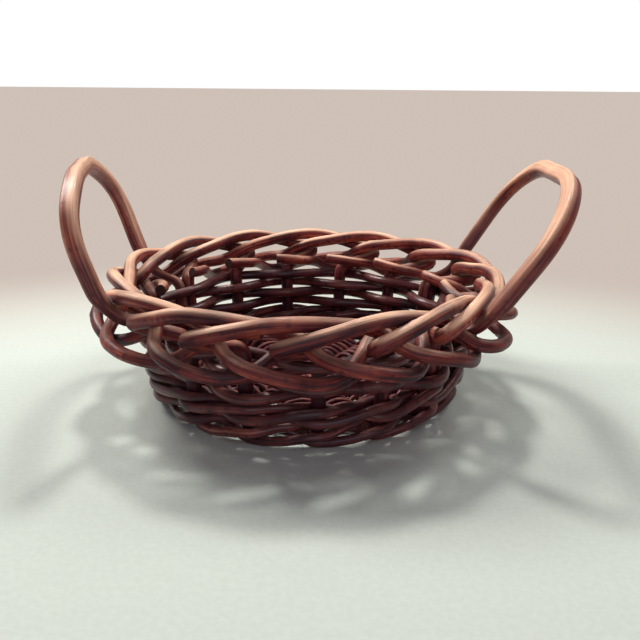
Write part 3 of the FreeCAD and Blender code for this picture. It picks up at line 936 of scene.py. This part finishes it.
# painted shade and dirt darken a rod where it lies on another
shadedirt = {"reach": 3.8, "search": 9.5, "fade": 1.5}
rodTree = kdtree.KDTree(sum(len(line) for name, line, radiusAt in rodLines))
owners = []
for name, line, radiusAt in rodLines:
    for number, point in enumerate(line):
        rodTree.insert(point, len(owners))
        owners.append((name, radiusAt(number / (len(line) - 1))))
rodTree.balance()
for name, line, radiusAt in rodLines:
    mesh = bpy.data.objects[name].data
    layer = mesh.attributes.new("shadedirt", "FLOAT", "POINT")
    values = []
    for vertex in mesh.vertices:
        nearest = shadedirt["reach"]
        for place, number, distance in rodTree.find_range(
                vertex.co / mm, shadedirt["search"]):
            owner, radius = owners[number]
            if owner != name:
                nearest = min(nearest, max(0.0, distance - radius))
        values.append((1 - nearest / shadedirt["reach"]) ** shadedirt["fade"])
    layer.data.foreach_set("value", values)
print("grime worked out")

# the floor is one pale colour near the object and fades to another away from it
setting = {
    "near": (0.57, 0.625, 0.57), "beyond": (0.62, 0.53, 0.47), "mottle": 0.93,
    "middle": (0.0, -0.35, 0.0), "fade": (0.48, 0.86), "size": 60.0,
    "aim": (0, 0, 0.08), "sky": (0.92, 0.94, 1.0, 1), "skyStrength": 0.18,
}


def makeTable():
    mesh = bpy.data.meshes.new("table")
    half = setting["size"] / 2
    low = cadBox[0].z
    mesh.from_pydata([(-half, -half, low), (half, -half, low),
                      (half, half, low), (-half, half, low)], [], [(0, 1, 2, 3)])
    table = bpy.data.objects.new("table", mesh)
    bpy.context.scene.collection.objects.link(table)
    material = bpy.data.materials.new("tableTop")
    material.use_nodes = True
    nodeTree = material.node_tree
    shader = nodeTree.nodes["Principled BSDF"]
    place = addNode(nodeTree, "ShaderNodeTexCoord", (-1300, 0))
    reach = addNode(nodeTree, "ShaderNodeVectorMath", (-900, 0),
                    operation="DISTANCE")
    nodeTree.links.new(place.outputs["Object"], reach.inputs[0])
    reach.inputs[1].default_value = setting["middle"]
    away = addRange(nodeTree, (-700, 0), reach.outputs["Value"], *setting["fade"])
    cloth = addNode(nodeTree, "ShaderNodeTexNoise", (-900, -300))
    cloth.inputs["Scale"].default_value = 260.0
    cloth.inputs["Detail"].default_value = 3.0
    nodeTree.links.new(place.outputs["Object"], cloth.inputs["Vector"])
    soft = addRange(nodeTree, (-700, -300), cloth.outputs[0], 0.2, 0.8)
    nearTone = addMix(nodeTree, (-500, -200), soft,
                      tuple(v * setting["mottle"] for v in setting["near"]) + (1,),
                      setting["near"] + (1,))
    colour = addMix(nodeTree, (-300, 0), away, nearTone, setting["beyond"] + (1,))
    nodeTree.links.new(colour, shader.inputs["Base Color"])
    shader.inputs["Roughness"].default_value = 0.85
    # the camera sees an even colour away from the object
    even = addNode(nodeTree, "ShaderNodeEmission", (0, -300))
    nodeTree.links.new(colour, even.inputs["Color"])
    seen = addNode(nodeTree, "ShaderNodeLightPath", (-500, 500))
    clear = addMath(nodeTree, (0, 300), "MULTIPLY",
                    seen.outputs["Is Camera Ray"], away)
    blend = addNode(nodeTree, "ShaderNodeMixShader", (350, 0))
    nodeTree.links.new(clear, blend.inputs[0])
    nodeTree.links.new(shader.outputs[0], blend.inputs[1])
    nodeTree.links.new(even.outputs[0], blend.inputs[2])
    nodeTree.links.new(blend.outputs[0],
                       nodeTree.nodes["Material Output"].inputs[0])
    mesh.materials.append(material)


makeTable()

# name, place, width, power and colour
lamps = (
    ("backWindow", (-0.05, 0.80, 1.50), 0.26, 14.0, (1.0, 0.97, 0.93)),
    ("leftWindow", (-1.10, 0.72, 1.35), 0.75, 29.0, (1.0, 0.965, 0.92)),
    ("rightWindow", (1.10, 0.72, 1.35), 0.75, 12.0, (1.0, 0.965, 0.92)),
    ("frontFill", (0.1, -1.9, 1.0), 1.6, 8.5, (1.0, 0.84, 0.95)),
)
for name, place, width, power, colour in lamps:
    data = bpy.data.lights.new(name, "AREA")
    data.shape = "DISK"
    data.size = width
    data.energy = power
    data.color = colour
    lamp = bpy.data.objects.new(name, data)
    lamp.location = place
    lamp.rotation_mode = "QUATERNION"
    lamp.rotation_quaternion = (
        Vector(setting["aim"]) - Vector(place)).to_track_quat("-Z", "Y")
    bpy.context.scene.collection.objects.link(lamp)

world = bpy.data.worlds.new("studio")
bpy.context.scene.world = world
world.use_nodes = True
worldTree = world.node_tree
sky = worldTree.nodes["Background"]
sky.inputs["Color"].default_value = setting["sky"]
sky.inputs["Strength"].default_value = setting["skyStrength"]
white = addNode(worldTree, "ShaderNodeBackground", (0, -200))
white.inputs["Color"].default_value = (1, 1, 1, 1)
seen = addNode(worldTree, "ShaderNodeLightPath", (-200, 300))
choose = addNode(worldTree, "ShaderNodeMixShader", (250, 0))
worldTree.links.new(seen.outputs["Is Camera Ray"], choose.inputs[0])
worldTree.links.new(sky.outputs[0], choose.inputs[1])
worldTree.links.new(white.outputs[0], choose.inputs[2])
worldTree.links.new(choose.outputs[0], worldTree.nodes["World Output"].inputs[0])

# angles in degrees; roll is about the line of sight
shot = {"place": (0.0124, -0.614, 0.252), "tilt": 72.6, "roll": 0.49,
        "lens": 42.64, "sensor": 36.0}
cameraData = bpy.data.cameras.new("camera")
cameraData.lens = shot["lens"]
cameraData.sensor_width = shot["sensor"]
camera = bpy.data.objects.new("camera", cameraData)
camera.matrix_world = (
    Matrix.Translation(shot["place"])
    @ Euler((math.radians(shot["tilt"]), 0, 0)).to_matrix().to_4x4()
    @ Matrix.Rotation(math.radians(shot["roll"]), 4, "Z"))
bpy.context.scene.collection.objects.link(camera)
bpy.context.scene.camera = camera
bpy.context.scene.view_settings.view_transform = "Standard"
